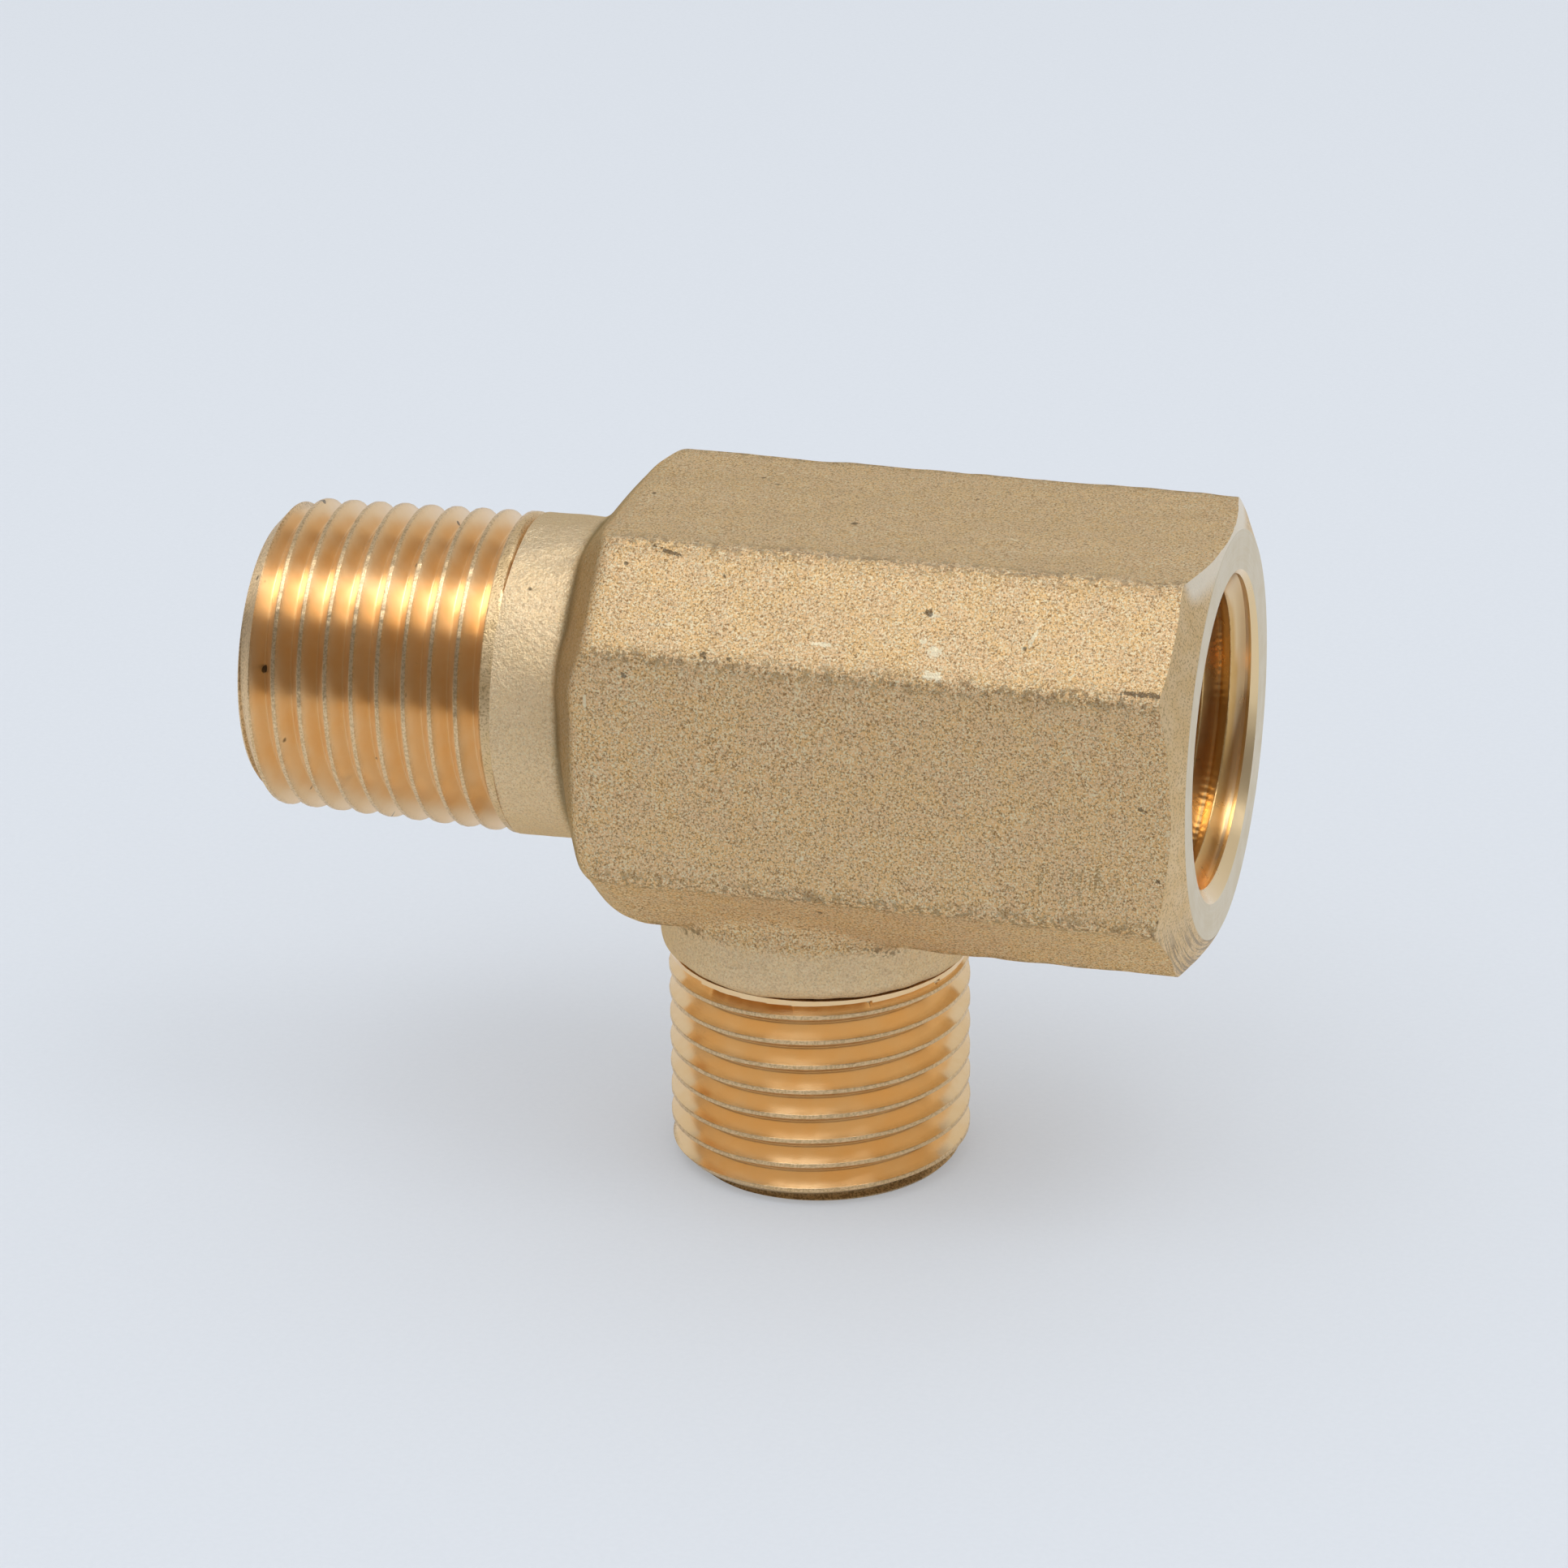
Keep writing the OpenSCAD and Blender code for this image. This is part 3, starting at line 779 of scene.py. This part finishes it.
def make_socket():
    """The threaded wall of the socket: a ring, less a threaded plug that sticks out past both its ends."""
    depth = FACE_X - SEAT_X
    runout, past = 1.6, 1

    def void(s, angle, t):
        fade = np.clip((s - t + PITCH - (depth - runout)) / PITCH, 0, 1)
        cut_depth = SOCKET_DEPTH * (1 - fade**1.3) - 0.1 * fade
        t = np.maximum(np.abs(t) - SOCKET_ROOT_FLAT, 0)
        crest = SOCKET_R + 0.012 + 0.010 * ripple(angle, s, 13)
        return smax(crest, SOCKET_R - groove_floor(t, cut_depth), CREST_ROUND)

    def plug_radius(s, angle, t):
        return void(s - past, angle, t)

    verts, faces = helical_rod(depth + 2 * past, SOCKET_START + past, plug_radius, thread_sides())
    plug = mesh_object("plug", np.stack([FACE_X + past - verts[:, 0], verts[:, 1], -verts[:, 2]], 1), faces)
    face_outwards(plug)
    liner = cylinder(SEAT_X, FACE_X, SEAT_R, SIDES)
    liner.name = "socket_liner"
    cut(liner, plug)
    inner, outer = FACE_X - 3 * SINK_SLOPE, FACE_X + 2 * SINK_SLOPE
    sink = [(inner, 0), (inner, MOUTH_R - 3), (outer, MOUTH_R + 2), (outer, 0)]
    cut(liner, solid_of_revolution(sink, SIDES))
    shade(liner, 40)
    points = vertex_points(liner)
    paint(liner, "crest", 0.25 * np.clip(1 - (from_axis(points, 0) - SOCKET_R - 0.03) / 0.06, 0, 1))
    paint(liner, "plain", 0.8 * np.clip((points[:, 0] - FACE_X + 1.34) / 0.05, 0, 1))
    liner.data.materials.append(thread_material("socket_brass", axis=0, polish=0.27, beads=125))
    liner.data.materials.append(turned_material())
    set_materials(liner, polygon_centres(liner)[:, 0] > FACE_X - 0.01)
    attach(liner, "root")
    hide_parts("socket_thread")


# ---------------------------------------------------------------- camera, floor and lights


def aim(obj, at, towards, roll=0.0):
    forward = (Vector(towards) - Vector(at)).normalized()
    right = forward.cross(Vector((0, 0, 1))).normalized()
    up = right.cross(forward)
    turn = math.radians(roll)
    right, up = right * math.cos(turn) + up * math.sin(turn), up * math.cos(turn) - right * math.sin(turn)
    obj.matrix_world = Matrix.Translation(at) @ Matrix((right, up, -forward)).transposed().to_4x4()


LENS, DISTANCE, ROLL = 144.06, 0.41777, -0.67


def make_camera():
    """The photo's viewing angle, with the place and lens that were fitted to the object's outlines."""
    target = Vector((-2.344, 0, -6.378)) * MM
    away = Vector((0.2427, -0.8853, 0.3966)).normalized()
    camera = bpy.data.objects.new("camera", bpy.data.cameras.new("camera"))
    bpy.context.scene.collection.objects.link(camera)
    camera.data.lens, camera.data.sensor_width = LENS, 36
    camera.data.clip_start, camera.data.clip_end = 0.01, 10
    aim(camera, target + away * DISTANCE, target, ROLL)
    bpy.context.scene.camera = camera


# The paper under the object, in metres
FLOOR_FRONT, FLOOR_BACK, FLOOR_HALF_WIDTH, CURVE_R, CURVE_STEPS = -0.138, 0.40, 0.9, 0.15, 12


def make_floor():
    """A sheet of pale paper that curves up behind, and ends a hand's width in front."""
    z0 = BRANCH_TIP_Z * MM
    outline = [(FLOOR_FRONT, 0.0), (FLOOR_BACK, 0.0)]
    for i in range(1, CURVE_STEPS + 1):
        a = i / CURVE_STEPS * math.pi / 2
        outline.append((FLOOR_BACK + CURVE_R * math.sin(a), CURVE_R - CURVE_R * math.cos(a)))
    points = [(x, y, z0 + z) for y, z in outline for x in (-FLOOR_HALF_WIDTH, FLOOR_HALF_WIDTH)]
    mesh = bpy.data.meshes.new("floor")
    mesh.from_pydata(points, [], [(2 * i, 2 * i + 1, 2 * i + 3, 2 * i + 2) for i in range(len(outline) - 1)])
    floor = bpy.data.objects.new("floor", mesh)
    bpy.context.scene.collection.objects.link(floor)
    shade(floor, 60)
    n = Nodes("floor_paper")
    n.put(n.shader.inputs["Metallic"], 0.0)
    fibre = n.noise(2400, 3.0, 0.6)
    color = n.mix(n.span(fibre, 0.3, 0.7), (0.44, 0.45, 0.46), (0.452, 0.462, 0.472))
    # a little light of its own keeps the shadows as soft as the photo's
    n.put(n.shader.inputs["Emission Color"], (0.668, 0.69, 0.725, 1.0))
    n.put(n.shader.inputs["Emission Strength"], 0.36)
    n.finish(color, 0.8, n.bump(fibre, 0.00001))
    mesh.materials.append(n.material)


COOL = (0.94, 0.985, 1.06)


def area_light(name, direction, distance, size, power, color=(1, 1, 1)):
    data = bpy.data.lights.new(name, "AREA")
    data.shape, data.size, data.size_y = "RECTANGLE", *size
    data.energy, data.color = power, color
    light = bpy.data.objects.new(name, data)
    bpy.context.scene.collection.objects.link(light)
    aim(light, Vector(direction).normalized() * distance, (0, 0, 0))
    return light


def make_lights():
    for name, direction, size, power, shine in (
        ("left_box", (-0.139, -0.399, 0.906), 0.42, 0.65, 0.7),
        ("right_box", (0.404, -0.125, 0.906), 0.30, 0.55, 2.2),
    ):
        area_light(name, direction, 0.75, (size, size), power, COOL)
        # the same box again for the metal alone, so that the paper keeps its soft shading
        area_light(name + "_shine", direction, 0.76, (size, size), shine, COOL).visible_diffuse = False
    area_light("side_box", (-0.74, -0.03, 0.62), 0.8, (0.5, 0.22), 0.2, COOL).visible_diffuse = False
    bpy.context.scene.world = make_room()
    bpy.context.scene.view_settings.view_transform = "Standard"


def make_room():
    """Pale paper where it is seen directly, a bright tent for diffuse shading, and for reflections a room
    that is dark low down and pale overhead, with a pale backdrop low down behind the object."""
    world = bpy.data.worlds.new("room")
    world.use_nodes = True
    tree = world.node_tree
    tree.nodes.clear()

    def node(kind, *links, **settings):
        made = tree.nodes.new(kind)
        for key, value in settings.items():
            setattr(made, key, value)
        for i, value in links:
            if isinstance(value, bpy.types.NodeSocket):
                tree.links.new(value, made.inputs[i])
            else:
                made.inputs[i].default_value = value
        return made

    path = node("ShaderNodeLightPath")
    sky = node("ShaderNodeTexCoord").outputs["Generated"]
    _, behind, up = node("ShaderNodeSeparateXYZ", (0, sky)).outputs
    share = node("ShaderNodeMapRange", (0, up), (1, 0.62), (2, 0.90), clamp=True).outputs[0]
    reflected = node(
        "ShaderNodeMix", (0, share), (6, (0.24, 0.24, 0.25, 1)), (7, (0.60, 0.62, 0.66, 1)), data_type="RGBA"
    ).outputs[2]
    far = node("ShaderNodeMapRange", (0, behind), (1, 0.30), (2, 0.46), clamp=True).outputs[0]
    low = node("ShaderNodeMapRange", (0, up), (1, 0.68), (2, 0.60), clamp=True).outputs[0]
    backdrop = node("ShaderNodeMath", (0, far), (1, low), operation="MULTIPLY").outputs[0]
    reflected = node(
        "ShaderNodeMix", (0, backdrop), (6, reflected), (7, (0.66, 0.69, 0.73, 1)), data_type="RGBA"
    ).outputs[2]
    paper = node("ShaderNodeBackground", (0, (0.695, 0.74, 0.805, 1)))
    tent = node("ShaderNodeBackground", (0, (0.60, 0.635, 0.685, 1)), (1, 1.6))
    room = node("ShaderNodeBackground", (0, reflected))
    shown = room.outputs[0]
    for ray, other in (("Is Diffuse Ray", tent), ("Is Camera Ray", paper)):
        mixed = node("ShaderNodeMixShader", (0, path.outputs[ray]), (1, shown), (2, other.outputs[0]))
        shown = mixed.outputs[0]
    node("ShaderNodeOutputWorld", (0, shown))
    return world


make_camera()
body = make_body()
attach(body, "root")
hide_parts("forged_body")
make_threads()
make_socket()
make_floor()
make_lights()

bpy.context.view_layer.update()
